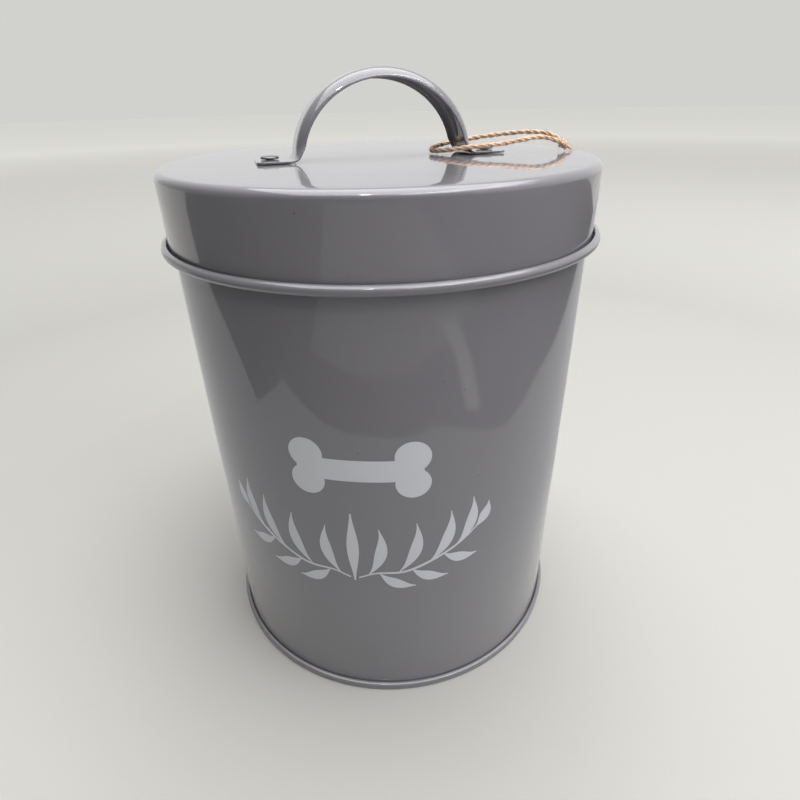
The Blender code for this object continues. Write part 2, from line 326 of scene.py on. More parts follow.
def arc(centre, radius, start, end, steps):
    """Points on an arc from one angle to another, both in degrees."""
    angles = np.radians(np.linspace(start, end, steps + 1))
    return [(centre[0] + radius * math.cos(a), centre[1] + radius * math.sin(a)) for a in angles]


def cut_edge(place, across, along, thickness):
    """Points over a rounded cut edge of the sheet, from one face to the other."""
    over = CUT_EDGE + [(-out, past) for out, past in CUT_EDGE[::-1]]
    return [place + thickness / 2.0 * (out * across + past * along) for out, past in over]


def sheet_outline(line, thickness, cap_start=True, cap_end=True):
    """The outline of a sheet bent along a middle line, with mitred corners and rounded cut edges.

    It runs out along one face of the sheet and back along the other.
    """
    line = np.array(line)
    step = np.diff(line, axis=0)
    step /= np.linalg.norm(step, axis=1)[:, None]
    normal = np.stack([-step[:, 1], step[:, 0]], axis=1)
    mitre = normal[:-1] + normal[1:]
    mitre /= np.sum(mitre * mitre, axis=1)[:, None] / 2.0
    side = np.concatenate([normal[:1], mitre, normal[-1:]]) * thickness / 2.0
    outline = list(line + side)
    if cap_end:
        outline += cut_edge(line[-1], normal[-1], step[-1], thickness)
    outline += list((line - side)[::-1])
    if cap_start:
        outline += cut_edge(line[0], -normal[0], -step[0], thickness)
    return outline


def refined(line, longest):
    """The same line with its long stretches cut into shorter ones."""
    fine = [tuple(line[0])]
    for start, end in zip(np.array(line), np.array(line)[1:]):
        count = max(1, math.ceil(math.hypot(*(end - start)) / longest))
        for part in range(1, count + 1):
            fine.append(tuple(start + (end - start) * part / count))
    return fine


def turned_piece(name, outline, paint, steps=ROUND_STEPS, shape=None, angles=None):
    """A piece turned about Z from its closed outline.

    shape takes a point's radius, angle and height and returns its new radius and height.
    """
    if angles is None:
        angles = np.linspace(0.0, 2.0 * math.pi, steps, endpoint=False)
    maker = bmesh.new()
    rings = []
    for angle in angles:
        ring = []
        for radius, height in outline:
            if shape is not None:
                radius, height = shape(radius, angle, height)
            ring.append(maker.verts.new((radius * math.cos(angle), radius * math.sin(angle), height)))
        rings.append(ring)
    on_axis = outline[0][0] < 0.001 * MM
    bridge(maker, rings, closed_ring=not on_axis, closed_path=True)
    return finish_mesh(name, maker, paint)


def smooth_step(value):
    """0 below 0, 1 above 1, and a smooth rise between."""
    value = min(max(value, 0.0), 1.0)
    return value * value * (3.0 - 2.0 * value)


def between(value, low, high, fade):
    """1 well between two limits and 0 outside them, with a smooth change over fade inside each."""
    return smooth_step((value - low) / fade) * smooth_step((high - value) / fade)


def sheet_wave(waves, angle, height):
    """How far waves move a sheet outwards at an angle and a height."""
    moved = 0.0
    for rise, count, twist, start in waves:
        moved += rise * math.sin(count * angle + twist * height / MM + start)
    return moved * MM


# Materials


def new_material(name):
    made = bpy.data.materials.new(name)
    made.use_nodes = True
    return made, made.node_tree.nodes, made.node_tree.links


def object_place(nodes, links, scale=(1000.0, 1000.0, 1000.0)):
    """Object coordinates stretched by a scale for each axis, which as a rule makes millimetres."""
    place = nodes.new("ShaderNodeTexCoord")
    mapping = nodes.new("ShaderNodeMapping")
    mapping.inputs["Scale"].default_value = scale
    links.new(place.outputs["Object"], mapping.inputs["Vector"])
    return mapping.outputs["Vector"]


def noise(nodes, links, vector, scale, detail=2.0, roughness=0.5):
    """Noise whose waves are about 1 / scale of the vector's units long."""
    made = nodes.new("ShaderNodeTexNoise")
    made.inputs["Scale"].default_value = scale
    made.inputs["Detail"].default_value = detail
    made.inputs["Roughness"].default_value = roughness
    links.new(vector, made.inputs["Vector"])
    return made.outputs["Fac"]


def shade_of(colour, share):
    """The same colour, darker or lighter."""
    return tuple(value * share for value in colour[:3]) + (1.0,)


def ramp(nodes, links, value, low, high, start=0.0, end=1.0):
    """A value scaled from one range to another and kept within it."""
    made = nodes.new("ShaderNodeMapRange")
    made.inputs["From Min"].default_value = low
    made.inputs["From Max"].default_value = high
    made.inputs["To Min"].default_value = start
    made.inputs["To Max"].default_value = end
    links.new(value, made.inputs["Value"])
    return made.outputs["Result"]


def mixed(nodes, links, factor, first, second):
    """A mix of two colours, each a colour or a socket."""
    made = nodes.new("ShaderNodeMix")
    made.data_type = "RGBA"
    links.new(factor, made.inputs["Factor"])
    for value, label in ((first, "A"), (second, "B")):
        socket = [s for s in made.inputs if s.name == label and s.type == "RGBA"][0]
        if isinstance(value, tuple):
            socket.default_value = value
        else:
            links.new(value, socket)
    return [s for s in made.outputs if s.type == "RGBA"][0]


def bump(nodes, links, height, distance, normal=None):
    """A bumped normal, over another bump where one is given."""
    made = nodes.new("ShaderNodeBump")
    made.inputs["Strength"].default_value = 1.0
    made.inputs["Distance"].default_value = distance
    links.new(height, made.inputs["Height"])
    if normal is not None:
        links.new(normal, made.inputs["Normal"])
    return made.outputs["Normal"]


def specks(nodes, links, vector, scale, size, share):
    """1 on small round specks, in a share of the cells of a Voronoi pattern, and 0 elsewhere."""
    cells = nodes.new("ShaderNodeTexVoronoi")
    cells.inputs["Scale"].default_value = scale
    links.new(vector, cells.inputs["Vector"])
    near = ramp(nodes, links, cells.outputs["Distance"], size, size * 0.5)
    split = nodes.new("ShaderNodeSeparateColor")
    links.new(cells.outputs["Color"], split.inputs["Color"])
    chosen = ramp(nodes, links, split.outputs["Red"], share, share * 0.9)
    both = nodes.new("ShaderNodeMath")
    both.operation = "MULTIPLY"
    links.new(near, both.inputs[0])
    links.new(chosen, both.inputs[1])
    return both.outputs["Value"]


def paint_material(name, colour, waves=WALL_SHEET_WAVES):
    """Gloss stoving paint on thin sheet.

    It has slow waves in the sheet, fine orange peel, a fine grain in the colour, a sheen that varies
    from place to place, and a few nibs of dust.
    """
    made, nodes, links = new_material(name)
    shader = nodes["Principled BSDF"]
    place = object_place(nodes, links)
    clouds = noise(nodes, links, place, 0.035, 3.0)
    grain = ramp(nodes, links, noise(nodes, links, place, 2.6), 0.2, 0.8)
    nibs = specks(nodes, links, place, 0.16, 0.05, 0.3)
    base = mixed(nodes, links, grain, shade_of(colour, 0.97), shade_of(colour, 1.04))
    base = mixed(nodes, links, nibs, base, shade_of(colour, 0.45))
    links.new(base, shader.inputs["Base Color"])
    rough = ramp(nodes, links, clouds, 0.1, 0.9, 0.30, 0.36)
    links.new(rough, shader.inputs["Roughness"])
    shader.inputs["IOR"].default_value = 1.35
    shader.inputs["Coat Weight"].default_value = 1.0
    shader.inputs["Coat Roughness"].default_value = 0.035
    shader.inputs["Coat IOR"].default_value = 1.5
    slow = noise(nodes, links, place, 0.045, 1.0)
    peel = noise(nodes, links, place, 0.75, 2.0, 0.4)
    normal = bump(nodes, links, slow, waves)
    normal = bump(nodes, links, peel, PEEL_DEPTH, normal)
    normal = bump(nodes, links, nibs, NIB_HEIGHT, normal)
    links.new(normal, shader.inputs["Normal"])
    links.new(normal, shader.inputs["Coat Normal"])
    return made


def steel_material(name):
    """Plated rivet steel: dull, slightly mottled, with fine marks that run mostly one way."""
    made, nodes, links = new_material(name)
    shader = nodes["Principled BSDF"]
    place = object_place(nodes, links)
    mottle = noise(nodes, links, place, 0.9, 3.0)
    base = mixed(nodes, links, mottle, shade_of(STEEL, 0.72), STEEL)
    links.new(base, shader.inputs["Base Color"])
    links.new(ramp(nodes, links, mottle, 0.3, 0.7, 0.30, 0.48), shader.inputs["Roughness"])
    shader.inputs["Metallic"].default_value = 1.0
    marks = noise(nodes, links, object_place(nodes, links, (4000.0, 500.0, 900.0)), 1.0)
    links.new(bump(nodes, links, marks, MARK_DEPTH), shader.inputs["Normal"])
    return made


def jute_material(name):
    """Jute: fine fibres of two browns, paler in patches, and painted shade that darkens the grooves between
    plies.
    """
    made, nodes, links = new_material(name)
    shader = nodes["Principled BSDF"]
    place = object_place(nodes, links)
    fibres = noise(nodes, links, place, 5.0, 3.0, 0.7)
    patches = ramp(nodes, links, noise(nodes, links, place, 0.5), 0.4, 0.7, 0.2, 0.75)
    groove_shade = nodes.new("ShaderNodeAttribute")
    groove_shade.attribute_name = "groove_shade"
    base = mixed(nodes, links, ramp(nodes, links, fibres, 0.35, 0.65), JUTE_DARK, JUTE_LIGHT)
    base = mixed(nodes, links, patches, base, JUTE_PALE)
    # Painted shade: the jute is darker where it lies deep between the plies
    base = mixed(nodes, links, groove_shade.outputs["Fac"], base, JUTE_GROOVE_SHADE)
    links.new(base, shader.inputs["Base Color"])
    shader.inputs["Roughness"].default_value = 0.85
    shader.inputs["Specular IOR Level"].default_value = 0.25
    shader.inputs["Sheen Weight"].default_value = 0.25
    shader.inputs["Sheen Roughness"].default_value = 0.5
    links.new(bump(nodes, links, fibres, FIBRE_DEPTH), shader.inputs["Normal"])
    return made


# Twine


def smooth_route(route, spacing):
    """Points at an even spacing along the Catmull-Rom curve through the route's own points."""
    knots = [Vector(point) for point in route]
    knots = [2.0 * knots[0] - knots[1]] + knots + [2.0 * knots[-1] - knots[-2]]
    fine = []
    for before, start, end, after in zip(knots, knots[1:], knots[2:], knots[3:]):
        for t in np.linspace(0.0, 1.0, 24, endpoint=False):
            slope_in = (end - before) / 2.0
            slope_out = (after - start) / 2.0
            point = start * (2.0 * t**3 - 3.0 * t**2 + 1.0) + end * (3.0 * t**2 - 2.0 * t**3)
            fine.append(point + slope_in * (t**3 - 2.0 * t**2 + t) + slope_out * (t**3 - t**2))
    fine.append(knots[-2])
    line = np.array(fine)
    length = np.concatenate([[0.0], np.cumsum(np.linalg.norm(np.diff(line, axis=0), axis=1))])
    even = np.linspace(0.0, length[-1], round(length[-1] / spacing) + 1)
    return np.stack([np.interp(even, length, line[:, axis]) for axis in range(3)], axis=1)


def frames_along(points):
    """For each point the direction of the line and two directions across it, which don't spin about it."""
    ahead = np.gradient(points, axis=0)
    ahead /= np.linalg.norm(ahead, axis=1)[:, None]
    side = Vector((0.0, 0.0, 1.0)).cross(Vector(ahead[0])).normalized()
    frames = []
    for direction in ahead:
        direction = Vector(direction)
        side = (side - side.dot(direction) * direction).normalized()
        frames.append((direction, side, direction.cross(side)))
    return frames


def ply_radius(angle):
    """The surface of twisted plies at an angle: its radius, and how deep between the plies it is, as
    shares.
    """
    spread = 2.0 * math.pi / TWINE_PLIES
    away = (angle + spread / 2.0) % spread - spread / 2.0
    half_chord = math.sqrt(PLY_RADIUS * PLY_RADIUS - (PLY_OFFSET * math.sin(away)) ** 2)
    reach = PLY_OFFSET * math.cos(away) + half_chord
    # The second share sets how much painted shade darkens the jute there
    return reach, smooth_step((0.86 - reach) / 0.30)


def twine_tube(name, points, radius, paint, start_turn=0.0, taper=0.0):
    """Uneven twisted plies along a line. taper is the last share of it, which thins to a frayed end."""
    maker = bmesh.new()
    groove_shade_layer = maker.verts.layers.float.new("groove_shade")
    around = TWINE_PLIES * STEPS_PER_PLY
    rings = []
    travelled = 0.0
    for index, (point, (_, side, other)) in enumerate(zip(points, frames_along(points))):
        if index:
            travelled += float(np.linalg.norm(points[index] - points[index - 1]))
        share = index / (len(points) - 1)
        along = travelled / MM
        uneven = 1.0 + 0.07 * math.sin(along * 0.9) + 0.05 * math.sin(along * 2.3 + 1.0)
        thin = 1.0 - 0.5 * smooth_step((share - 1.0 + taper) / taper) if taper else 1.0
        twist = start_turn + 2.0 * math.pi * travelled / TWINE_PITCH
        ring = []
        for step in range(around):
            angle = 2.0 * math.pi * step / around
            reach, groove_shade = ply_radius(angle - twist)
            out = (side * math.cos(angle) + other * math.sin(angle)) * radius * reach * uneven * thin
            vertex = maker.verts.new(Vector(point) + out)
            # Painted shade, darkest deep between the plies
            vertex[groove_shade_layer] = groove_shade * 0.85
            ring.append(vertex)
        rings.append(ring)
    bridge(maker, rings)
    for ring, end in ((rings[0], points[0]), (rings[-1], points[-1])):
        middle = maker.verts.new(Vector(end))
        for first, second in zip(ring, ring[1:] + ring[:1]):
            maker.faces.new((first, second, middle))
    return finish_mesh(name, maker, paint, sharp=75.0)


def fibre_curves(name, lines, paint, frayed_ends):
    """Loose fibres that stand off the twine, and brushes of them at its cut ends.

    lines gives each line with its share of the fibres.
    """
    dice = random.Random(FIBRE_SEED)
    curve = bpy.data.curves.new(name, "CURVE")
    curve.dimensions = "3D"
    curve.bevel_depth = FIBRE_R
    curve.bevel_resolution = 1
    curve.materials.append(paint)

    def hair(root, direction, length, sag):
        spline = curve.splines.new("POLY")
        spline.points.add(4)
        curl = Vector((dice.uniform(-1, 1), dice.uniform(-1, 1), dice.uniform(-1, 1))) * 0.35
        for index, target in enumerate(spline.points):
            t = index / 4.0
            place = root + direction * length * t + curl * length * t * t
            place.z -= sag * t * t
            place.z = max(place.z, LID_TOP + 0.05 * MM)
            target.co = (*place, 1.0)
            target.radius = 1.0 - 0.6 * t

    for line, share in lines:
        frames = frames_along(line)
        for _ in range(round(FIBRE_COUNT * share)):
            index = dice.randrange(1, len(line) - 1)
            ahead, side, other = frames[index]
            turn = dice.uniform(0.0, 2.0 * math.pi)
            out = side * math.cos(turn) + other * math.sin(turn)
            root = Vector(line[index]) + out * TWINE_R * 0.8
            lean = ahead * dice.choice((-1.0, 1.0)) * dice.uniform(0.8, 2.2)
            direction = (out * dice.uniform(0.3, 1.0) + lean).normalized()
            hair(root, direction, dice.uniform(0.6, 2.6) * MM, dice.uniform(0.0, 0.4) * MM)
    for line in frayed_ends:
        ahead, side, other = frames_along(line)[-1]
        for _ in range(FIBRE_FRAYED):
            turn = dice.uniform(0.0, 2.0 * math.pi)
            out = (side * math.cos(turn) + other * math.sin(turn)) * dice.uniform(0.0, 0.5)
            root = Vector(line[-1]) - ahead * 0.6 * MM + out * TWINE_R * 0.8
            direction = (ahead + out * 0.9).normalized()
            hair(root, direction, dice.uniform(1.0, 2.4) * MM, dice.uniform(0.0, 0.5) * MM)
    return link(name, curve)


def knot_line():
    """A few turns wound round both strands where they meet, a little uneven."""
    start, end = lid_point(KNOT_START), lid_point(KNOT_END)
    middle = (start + end) / 2.0
    axis = (end - start).normalized()
    side = axis.cross(Vector((0.0, 0.0, 1.0))).normalized()
    other = axis.cross(side)
    points = []
    for t in np.linspace(0.0, 1.0, 90):
        turn = 2.0 * math.pi * KNOT_TURNS * t
        radius = (KNOT_RADIUS + 0.10 * math.sin(7.0 * t)) * MM
        along = (t - 0.5) * KNOT_LENGTH * MM + 0.22 * MM * math.sin(turn)
        out = (side * math.cos(turn) + other * math.sin(turn)) * radius
        points.append(middle + axis * along + out)
    return np.array([tuple(point) for point in points])


# Camera first, then the twine


def make_camera():
    camera = link("camera", bpy.data.cameras.new("camera"))
    camera.data.sensor_width = CAMERA_SENSOR
    camera.data.lens = CAMERA_LENS
    camera.data.clip_start = 0.01
    camera.location = CAMERA_PLACE
    camera.rotation_euler = [math.radians(angle) for angle in CAMERA_TURN]
    bpy.context.scene.camera = camera


def make_twine():
    jute = jute_material("jute")
    route = [lid_point(point) for point in TWINE_ROUTE]
    line = smooth_route(route, TWINE_SPACING)
    loop = twine_tube("twine_strand", line, TWINE_R, jute)
    knot_path = knot_line()
    knot = twine_tube("twine_knot_turns", knot_path, KNOT_TWINE_R, jute, start_turn=0.6)
    tails = []
    tail_lines = []
    for index, tail_route in enumerate(TAIL_ROUTES):
        tail_line = smooth_route([lid_point(point) for point in tail_route], TWINE_SPACING)
        tail_lines.append(tail_line)
        name = f"twine_tail_{index}"
        tails.append(twine_tube(name, tail_line, TAIL_TWINE_R, jute, start_turn=0.9, taper=TAIL_TAPER))
    lines = [(line, 1.0), (knot_path, 0.12)] + [(tail_line, 0.06) for tail_line in tail_lines]
    fibres = fibre_curves("twine_fibres", lines, jute, frayed_ends=tail_lines)
    pieces = [knot, *tails, fibres]
    for piece in [loop, *pieces]:
        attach(piece, "lid")
    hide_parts("twine_loop")
    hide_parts("twine_knot")


# Wall and base


def wall_line():
    """From inside the curled rim, over it, down the wall and out into the flange at the foot."""
    middle = WALL_R - SHEET / 2.0
    rim_top = LID_TOP - SHEET - GAP
    rim_centre = (WALL_R - RIM_R, rim_top - RIM_R)
    line = arc(rim_centre, RIM_R - SHEET / 2.0, RIM_CURL_END, 0.0, 28)
    flange_z = SHEET + GAP + SHEET / 2.0
    corner = (middle + FOOT_CORNER, flange_z + FOOT_CORNER)
    straight_end = (middle, corner[1])
    line += refined([line[-1], straight_end], 4.0 * MM)[1:-1]
    line += arc(corner, FOOT_CORNER, 180.0, 270.0, 6)
    line.append((middle + FLANGE_REACH, flange_z))
    return line


def wall_shape(radius, angle, height):
    """The folded seam at the back, and hardly visible waves in the drawn sheet."""
    low = FOOT_RING_TOP + GAP
    high = LID_TOP - SHEET - GAP - 2.0 * RIM_R
    wave = sheet_wave(WALL_WAVES, angle, height) * between(height, low, high, WALL_WAVE_FADE)
    across = (math.pi / 2.0 - angle) * WALL_R
    fold = between(across, -SEAM_WIDTH / 2.0, SEAM_WIDTH / 2.0, SEAM_EDGE)
    fold *= between(height, low, high, SEAM_END_FADE)
    outside = radius > WALL_R - SHEET / 2.0
    return radius + wave + fold * SEAM_PROUD * outside, height


def wall_angles():
    """Even steps round the canister, with close ones over the folded seam."""
    back = math.pi / 2.0
    half = (SEAM_WIDTH / 2.0 + 0.3 * MM) / WALL_R
    even = np.linspace(0.0, 2.0 * math.pi, ROUND_STEPS, endpoint=False)
    close = list(np.linspace(back - half, back + half, 42))
    kept = [angle for angle in even if abs(angle - back) > half + 0.002]
    return sorted(kept + close)


def make_wall(paint):
    outline = sheet_outline(wall_line(), SHEET)
    made = turned_piece("wall", outline, paint, shape=wall_shape, angles=wall_angles())
    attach(made, "canister")
    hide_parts("body_wall")


def base_line():
    """From the middle of the panel over its ring, down inside the wall, under its flange and up again."""
    middle = WALL_R - SHEET / 2.0
    inner = middle - SHEET - GAP
    outer = FOOT_RING_R - SHEET / 2.0
    low = SHEET / 2.0
    high = FOOT_RING_TOP - SHEET / 2.0
    raised = BASE_PANEL_Z + RING_STEP
    soft = RING_STEP / 2.0
    line = [(0.0, BASE_PANEL_Z), (RING_IN - soft, BASE_PANEL_Z)]
    line += arc((RING_IN, BASE_PANEL_Z + soft), soft, -70.0, -20.0, 3)
    line += arc((RING_IN + 2.0 * soft, raised - soft), soft, 160.0, 110.0, 3)
    line += arc((RING_OUT - 2.0 * soft, raised - soft), soft, 70.0, 20.0, 3)
    line += arc((RING_OUT, BASE_PANEL_Z + soft), soft, 200.0, 250.0, 3)
    line += arc((inner - FOOT_CORNER, BASE_PANEL_Z - FOOT_CORNER), FOOT_CORNER, 90.0, 0.0, 6)
    line += arc((inner + FOOT_CORNER, low + FOOT_CORNER), FOOT_CORNER, 180.0, 270.0, 6)
    line += arc((outer - FOOT_CORNER, low + FOOT_CORNER), FOOT_CORNER, -90.0, 0.0, 6)
    line += arc((outer - FOOT_CORNER, high - FOOT_CORNER), FOOT_CORNER, 0.0, 90.0, 6)
    line.append((WALL_R + GAP + 0.1 * MM, high))
    return line


def make_base(paint):
    made = turned_piece("base", sheet_outline(base_line(), SHEET, cap_start=False), paint)
    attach(made, "canister")
    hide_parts("base_plate")


# Lid


def lid_line():
    """From the middle of the panel, over the rounded edge, down the skirt and round the rolled edge."""
    skirt = WALL_R + LID_CLEARANCE + SHEET / 2.0
    edge_r = LID_EDGE_R - SHEET / 2.0
    bead_r = BEAD_R - SHEET / 2.0
    edge_centre = (skirt - edge_r, -LID_EDGE_R)
    bead_centre = (skirt + bead_r, BEAD_Z - LID_TOP)
    line = refined([(0.0, -SHEET / 2.0), (edge_centre[0], -SHEET / 2.0)], 6.0 * MM)[:-1]
    line += arc(edge_centre, edge_r, 90.0, 0.0, 14)
    line += refined([line[-1], (skirt, bead_centre[1])], 2.5 * MM)[1:-1]
    line += arc(bead_centre, bead_r, 180.0, BEAD_CURL_END, 36)
    return [(radius, height + LID_TOP) for radius, height in line]


def lid_shape(radius, angle, height):
    """Hardly visible waves in the pressed skirt."""
    skirt_low = BEAD_Z + 1.5 * MM
    skirt_high = LID_TOP - LID_EDGE_R
    fade = between(height, skirt_low, skirt_high, LID_WAVE_FADE)
    return radius + sheet_wave(LID_WAVES, angle, height) * fade, height


def make_lid(paint):
    outline = sheet_outline(lid_line(), SHEET, cap_start=False)
    made = turned_piece("lid", outline, paint, shape=lid_shape)
    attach(made, "lid")
    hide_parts("lid_cap")


# Handle


def arch_heading(turn):
    """The strap's slope where the arch has turned by this angle from its left end."""
    return math.atan2(ARCH_RISE * math.cos(turn), ARCH_HALF_SPAN * math.sin(turn))


def arch_start():
    """The turn of the arch where the bend of the foot runs into it without a kink, found step by step."""
    turn = 0.1
    for _ in range(12):
        top_of_bend = FOOT_Z + BEND_R * (1.0 - math.cos(arch_heading(turn)))
        turn = math.asin((top_of_bend - ARCH_BASE) / ARCH_RISE)
    return turn


def half_strap():
    """Stations from the left foot's tip to the top: place, heading, half width, length past the foot."""
    half_width = STRAP_WIDTH / 2.0
    turn = arch_start()
    heading = arch_heading(turn)
    bend_x = -ARCH_HALF_SPAN * math.cos(turn) - BEND_R * math.sin(heading)
    tip_x = -HANDLE_LENGTH / 2.0
    stations = []
    for angle in np.radians(np.linspace(0.0, 90.0, 10)):
        x = tip_x + FOOT_TIP_R * (1.0 - math.cos(angle))
        rounded = half_width - FOOT_TIP_R * (1.0 - math.sin(angle))
        stations.append((x, FOOT_Z, 0.0, rounded, 0.0))
    for x in np.linspace(stations[-1][0], bend_x, 6)[1:-1]:
        stations.append((x, FOOT_Z, 0.0, half_width, 0.0))
    for angle in np.linspace(0.0, heading, 12):
        x = bend_x + BEND_R * math.sin(angle)
        z = FOOT_Z + BEND_R * (1.0 - math.cos(angle))
        stations.append((x, z, angle, half_width, BEND_R * angle))
    length = BEND_R * heading
    last = stations[-1]
    for angle in np.linspace(turn, math.pi / 2.0, 44)[1:]:
        x = -ARCH_HALF_SPAN * math.cos(angle)
        z = ARCH_BASE + ARCH_RISE * math.sin(angle)
        length += math.hypot(x - last[0], z - last[1])
        last = (x, z, arch_heading(angle), half_width, length)
        stations.append(last)
    return stations


def strap_section(half_width, length):
    """The strap's middle line across: how far sideways and how far in it lies, from edge to edge.

    Its edge zones curl in more and more with the length past the foot.
    """
    curl = CURL_MOST * smooth_step(length / CURL_START)
    curl += (1.0 - CURL_MOST) * smooth_step(length / CURL_FULL)
    flat = half_width - CURL_ZONE
    half = [(part * flat, 0.0) for part in np.linspace(0.0, 1.0, 5)]
    for part in np.linspace(0.1, 1.0, 10):
        angle = CURL_ANGLE * curl * part
        run = CURL_ZONE * part
        if angle < 1e-4:
            half.append((flat + run, 0.0))
        else:
            radius = run / angle
            half.append((flat + radius * math.sin(angle), radius * (1.0 - math.cos(angle))))
    return [(-side, inward) for side, inward in half[:0:-1]] + half


def make_handle(paint):
    left = half_strap()
    right = [(-x, z, -heading, width, length) for x, z, heading, width, length in left[-2::-1]]
    place = lid_matrix() @ Matrix.Translation((HANDLE_SHIFT, 0.0, 0.0))
    maker = bmesh.new()
    rings = []
    for x, z, heading, width, length in left + right:
        ring = []
        for side, inward in sheet_outline(strap_section(width, length), STRAP):
            point = Vector((x + inward * math.sin(heading), side, z - inward * math.cos(heading)))
            ring.append(maker.verts.new(place @ point))
        rings.append(ring)
    bridge(maker, rings)
    for ring in (rings[0], rings[-1]):
        maker.faces.new(ring)
    made = finish_mesh("strap_handle", maker, paint)
    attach(made, "lid")
    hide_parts("handle")


# Rivets


def rivet_outline():
    """From the top of the domed head over its edge, down the shank and round the upset, dimpled tail."""
    head_low = GAP + STRAP + GAP
    head_high = head_low + RIVET_HEAD
    tail_high = -SHEET - GAP
    tail_low = tail_high - RIVET_TAIL
    rim_top = head_high - RIVET_DOME
    flat = RIVET_HEAD_R - RIVET_EDGE
    outline = [(flat * part, head_high - RIVET_DOME * part * part) for part in np.linspace(0.0, 1.0, 8)]
    outline += arc((flat, rim_top - RIVET_EDGE), RIVET_EDGE, 75.0, 0.0, 5)
    outline += [(RIVET_HEAD_R, head_low + 0.8 * RIVET_BREAK), (RIVET_HEAD_R - RIVET_BREAK, head_low)]
    outline += [(RIVET_SHANK_R, head_low), (RIVET_SHANK_R, tail_high)]
    outline += arc((RIVET_TAIL_R - RIVET_EDGE, tail_high - RIVET_EDGE), RIVET_EDGE, 90.0, 0.0, 4)
    outline += arc((RIVET_TAIL_R - RIVET_EDGE, tail_low + RIVET_EDGE), RIVET_EDGE, 0.0, -90.0, 4)
    return outline + [(radius, tail_low + deep) for radius, deep in TAIL_DIMPLE]


def make_rivet(name, node, side, steel):
    made = turned_piece(name, rivet_outline(), steel, steps=64)
    along = HANDLE_SHIFT + side * (HANDLE_LENGTH / 2.0 - RIVET_IN)
    made.data.transform(lid_matrix() @ Matrix.Translation((along, 0.0, 0.0)))
    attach(made, "lid")
    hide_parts(node)


# Print


def printed(name, maker, paint):
    """Bends flat faces, in millimetres, round the wall as a thin layer of ink, cut to follow its curve."""
    low = min(vertex.co.x for vertex in maker.verts)
    high = max(vertex.co.x for vertex in maker.verts)
    for cut in np.arange(math.ceil(low), high, PRINT_STEP):
        parts = maker.verts[:] + maker.edges[:] + maker.faces[:]
        bmesh.ops.bisect_plane(maker, geom=parts, plane_co=(cut, 0.0, 0.0), plane_no=(1.0, 0.0, 0.0))
    bmesh.ops.recalc_face_normals(maker, faces=maker.faces)
    if sum(face.normal.z for face in maker.faces) < 0.0:
        bmesh.ops.reverse_faces(maker, faces=maker.faces)
    for vertex in maker.verts:
        across, height, level = (value * MM for value in vertex.co)
        angle = across / WALL_R - math.pi / 2.0
        radius = wall_shape(WALL_R, angle, height)[0] + PRINT_PROUD + level
        vertex.co = (radius * math.cos(angle), radius * math.sin(angle), height)
    mesh = bpy.data.meshes.new(name)
    maker.to_mesh(mesh)
    maker.free()
    mesh.shade_smooth()
    mesh.materials.append(paint)
    made = link(name, mesh)
    shell = made.modifiers.new("ink", "SOLIDIFY")
    shell.thickness = PRINT_PROUD
    shell.offset = -1.0
    edges = made.modifiers.new("edges", "EDGE_SPLIT")
    edges.split_angle = math.radians(40.0)
    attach(made, "canister")


def bone_outline():
    """A straight shaft with two round knuckles at each end."""
    middle_across = BONE_HALF_LENGTH - KNUCKLE_ACROSS
    middle_up = BONE_HALF_HEIGHT - KNUCKLE_UP
    meet = math.asin((BONE_SHAFT_HALF - middle_up) / KNUCKLE_UP)
    notch = math.asin((middle_up - NOTCH_HALF) / KNUCKLE_UP)
    corner = []
    for angle in np.linspace(math.pi - meet, -notch, 40):
        x = middle_across + KNUCKLE_ACROSS * math.cos(angle)
        corner.append((x, middle_up + KNUCKLE_UP * math.sin(angle)))
    right = corner + [(x, -y) for x, y in corner[::-1]]
    return right + [(-x, -y) for x, y in right]


def make_bone(paint):
    """The bone's outline filled with faces."""
    maker = bmesh.new()
    points = [Vector((x + BONE_MIDDLE[0], z + BONE_MIDDLE[1], 0.0)) for x, z in bone_outline()]
    vertices = [maker.verts.new(point) for point in points]
    for corners in tessellate_polygon([points]):
        maker.faces.new([vertices[i] for i in corners])
    printed("print_bone", maker, paint)


def pen_stroke(maker, route, hairline, swell, mirror=1.0, level=0.0):
    """A stroke of a broad pen: a line through the route's points that swells towards its middle."""
    flat = [(x * mirror + ORNAMENT_MIDDLE[0], z + ORNAMENT_MIDDLE[1], 0.0) for x, z in route]
    line = smooth_route(flat, PEN_STEP)
    ahead = np.gradient(line, axis=0)
    ahead /= np.linalg.norm(ahead, axis=1)[:, None]
    rows = []
    for index, (point, step) in enumerate(zip(line, ahead)):
        share = index / (len(line) - 1)
        half = 0.5 * (hairline + (swell - hairline) * math.sin(math.pi * share) ** 1.6)
        across = Vector((-step[1], step[0], 0.0)) * half
        middle = Vector((point[0], point[1], level))
        rows.append([maker.verts.new(middle + across), maker.verts.new(middle - across)])
    bridge(maker, rows, closed_ring=False)


def bowed(foot, tip, bow):
    """Points on a line from foot to tip that bows out to the right by a share of its length."""
    foot, tip = np.array(foot), np.array(tip)
    ahead = tip - foot
    aside = np.array([ahead[1], -ahead[0]])
    return [tuple(foot + ahead * t + aside * bow * 4.0 * t * (1.0 - t)) for t in np.linspace(0.0, 1.0, 7)]


def make_ornament(paint):
    """A leafy sprig in pen strokes, the same to both sides, with its stems just proud of its leaves."""
    maker = bmesh.new()
    pen_stroke(maker, UPRIGHT_LEAF, HAIRLINE, LEAF_SWELL)
    for mirror in (-1.0, 1.0):
        pen_stroke(maker, STEM, HAIRLINE, STEM_SWELL, mirror, STEM_LEVEL)
        for foot, tip, bow in LEAVES:
            pen_stroke(maker, bowed(foot, tip, bow), LEAF_HAIRLINE, LEAF_SWELL, mirror)
    printed("print_ornament", maker, paint)


# Room


def plain_shader(shader, colour):
    """Matt, without any gloss."""
    shader.inputs["Base Color"].default_value = colour
    shader.inputs["Roughness"].default_value = 0.9
    shader.inputs["Specular IOR Level"].default_value = 0.0


